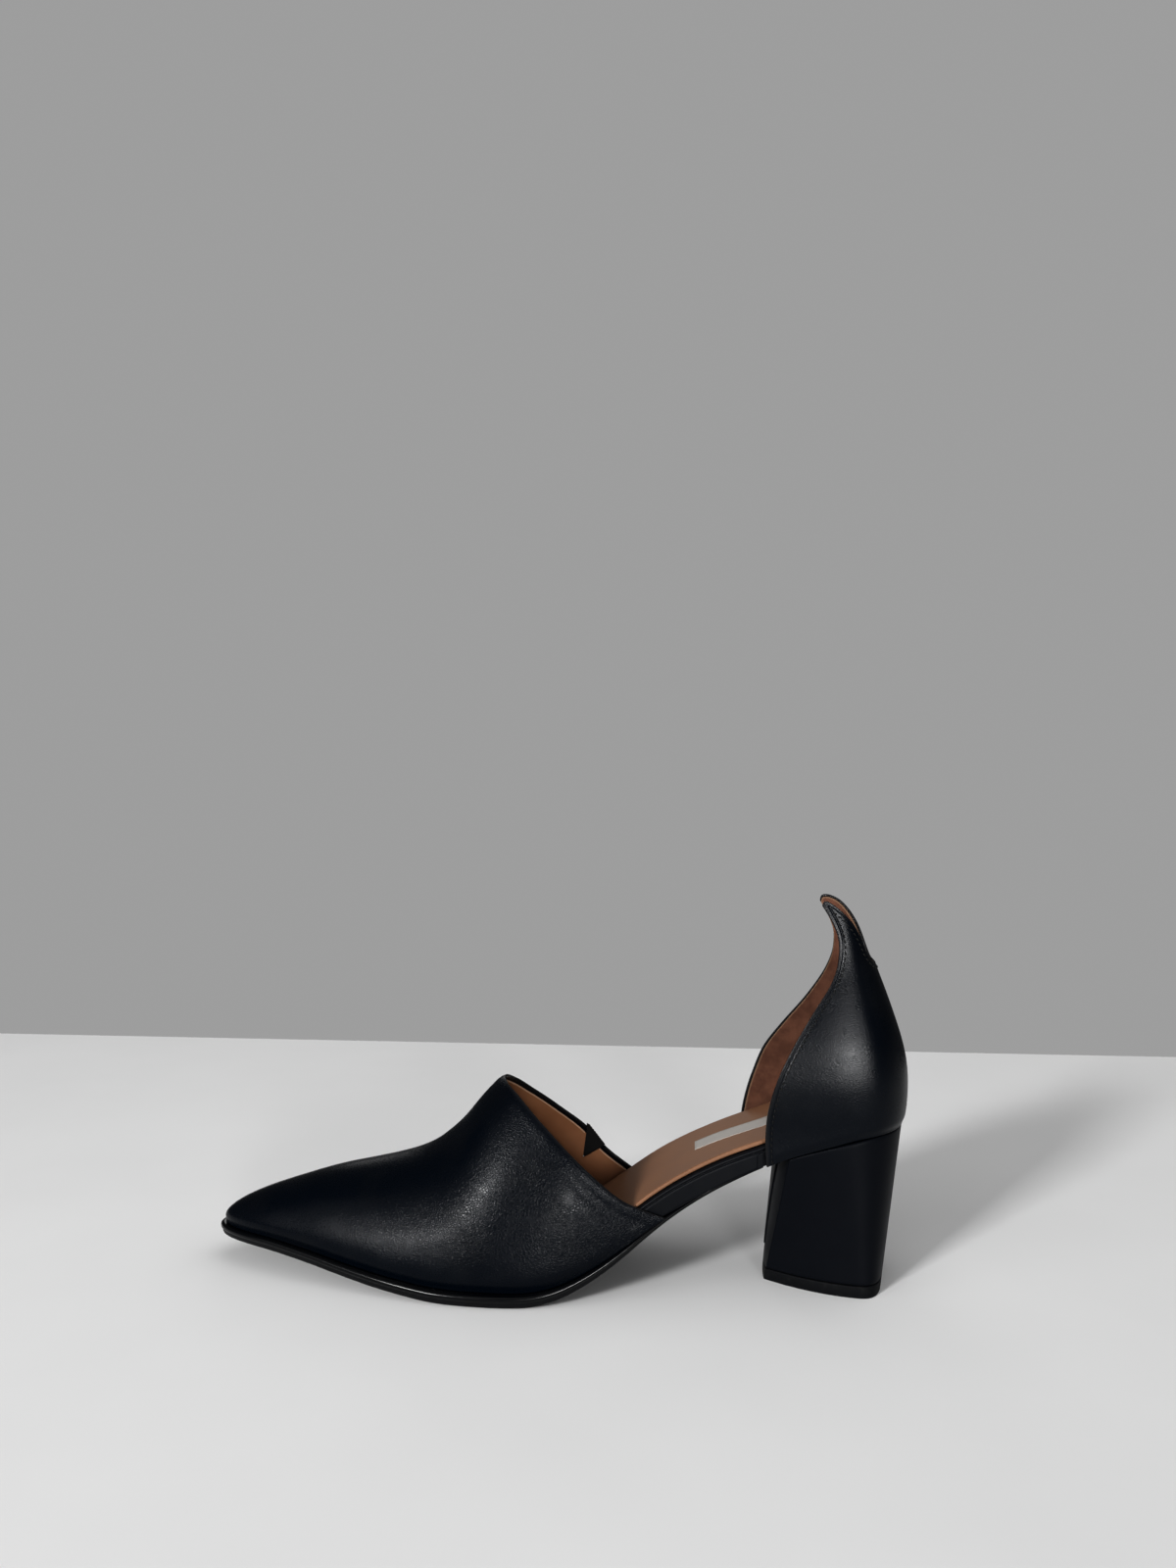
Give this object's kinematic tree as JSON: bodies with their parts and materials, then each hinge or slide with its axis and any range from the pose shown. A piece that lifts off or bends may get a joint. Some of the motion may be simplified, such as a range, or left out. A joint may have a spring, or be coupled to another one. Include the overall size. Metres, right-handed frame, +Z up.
{
  "type": "block heel pump",
  "caption": "Left shoe of a pair of women's leather pumps: pointed toe, slanted throat, open waist, eared heel cup, tan insole and leather-covered block heel.",
  "frame": {"origin": "on the floor under the middle of the shoe's box", "axes": "-X towards the toe, +X towards the heel, -Y towards the outer side of the foot, +Z up from the floor"},
  "size_m": [0.2637, 0.079, 0.1405],
  "materials": {
    "black_leather": "smooth black leather with fine grain, semi-gloss",
    "elastic": "black ribbed elastic, matt",
    "tan_leather": "smooth tan lining leather, satin",
    "wrapped_edge": "black leather wrapped over the board's edge, satin",
    "sole_black": "black sole, satin edge and matt tread",
    "heel_cover": "black leather cover, satin",
    "lift_rubber": "black rubber, matt"
  },
  "bodies": {
    "root": {"vamp": "black_leather", "gore": "elastic", "quarter": "black_leather", "insole": "tan_leather", "insole_board": "wrapped_edge", "outsole": "sole_black", "heel": "heel_cover", "top_lift": "lift_rubber"}
  },
  "joints": []
}
